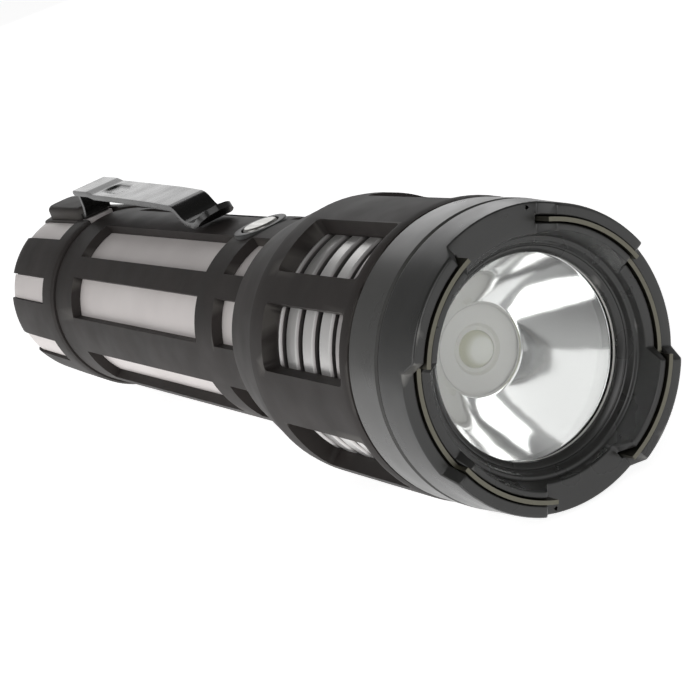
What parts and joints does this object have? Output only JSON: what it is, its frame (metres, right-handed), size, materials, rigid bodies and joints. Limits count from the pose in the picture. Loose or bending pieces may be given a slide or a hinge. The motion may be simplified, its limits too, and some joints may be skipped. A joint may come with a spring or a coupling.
{
  "type": "firefighter flashlight",
  "caption": "Rugged handheld torch with a crenellated bezel, deep reflector, windowed rubber armour, side push button and steel belt clip.",
  "frame": {"origin": "centre of the flat tail end, where the lamp stands", "axes": "+Y runs along the lamp from the bezel to the tail end, +Z points out through the button and the clip"},
  "size_m": [0.0398, 0.1672, 0.0417],
  "materials": {
    "armour_rubber": "matte",
    "seal_rubber": "satin",
    "bezel_coating": "hard-anodised, semi-gloss",
    "strip_steel": "satin",
    "bare_aluminium": "turned",
    "tube_aluminium": "satin",
    "reflector_metal": "vapour-deposited aluminium",
    "lens_glass": "clear",
    "led_silicone": "cast silicone",
    "led_ceramic": "ceramic",
    "white_plastic": "moulded",
    "led_board_aluminium": "coated",
    "steel": "satin",
    "clip_steel": "baked black, semi-gloss",
    "lead_sheath": "insulation",
    "circuit_board": "solder mask",
    "component_plastic": "moulded",
    "black_plastic": "moulded",
    "brass": "bare",
    "cell_wrap": "shrink wrap"
  },
  "bodies": {
    "housing": {"bezel_ring": "bezel_coating", "bezel_strip_left": "strip_steel", "bezel_strip_right": "strip_steel", "lens_gasket": "led_silicone", "lens": "lens_glass", "reflector": "reflector_metal", "led_dome": "led_silicone", "led_package": "led_ceramic", "led_centring_ring": "white_plastic", "led_board": "led_board_aluminium", "led_screws": "steel", "led_leads": "lead_sheath", "heat_sink": "bare_aluminium", "driver_board": "circuit_board", "driver_components": "component_plastic", "driver_retaining_ring": "bare_aluminium", "head_collar": "bezel_coating", "head_body": "bare_aluminium", "head_sleeve": "armour_rubber", "body_tube": "tube_aluminium", "body_sleeve": "armour_rubber", "switch_ring": "seal_rubber", "tact_switch": "component_plastic", "switch_board": "circuit_board", "switch_carrier": "black_plastic", "front_contact": "brass", "switch_leads": "lead_sheath", "tail_o_ring": "seal_rubber"},
    "button": {"switch_button": "steel", "switch_spring": "steel"},
    "tail_cap": {"tail_cap": "tube_aluminium", "tail_sleeve": "armour_rubber", "tail_board": "circuit_board", "tail_board_ring": "bare_aluminium", "tail_spring": "steel", "clip_foot": "clip_steel", "clip_screws": "steel"},
    "clip": {"clip_arm": "clip_steel"},
    "battery": {"battery_cell": "cell_wrap", "battery_terminal": "steel", "battery_sleeve": "black_plastic"}
  },
  "joints": [
    {"name": "button_press", "type": "slide", "parent": "housing", "child": "button", "axis": [0, 0, -1], "range_m": [0, 0.001], "stiffness_N_per_m": 300, "springref_m": -0.002, "deforming": ["switch_spring"]},
    {"name": "tail_cap_slide", "type": "slide", "parent": "housing", "child": "tail_cap", "axis": [0, 1, 0], "range_m": [0, 0.11]},
    {"name": "battery_slide", "type": "slide", "parent": "housing", "child": "battery", "axis": [0, 1, 0], "range_m": [0, 0.088]},
    {"name": "clip_flex", "type": "hinge", "parent": "tail_cap", "child": "clip", "pos_m": [0, -0.0244, 0.0214], "axis": [-1, 0, 0], "range_deg": [0, 5], "stiffness_Nm_per_rad": 8, "springref_deg": -2.86}
  ],
  "couplings": [
    {"joint": "battery_slide", "follows": "tail_cap_slide", "ratio": 0.8}
  ]
}
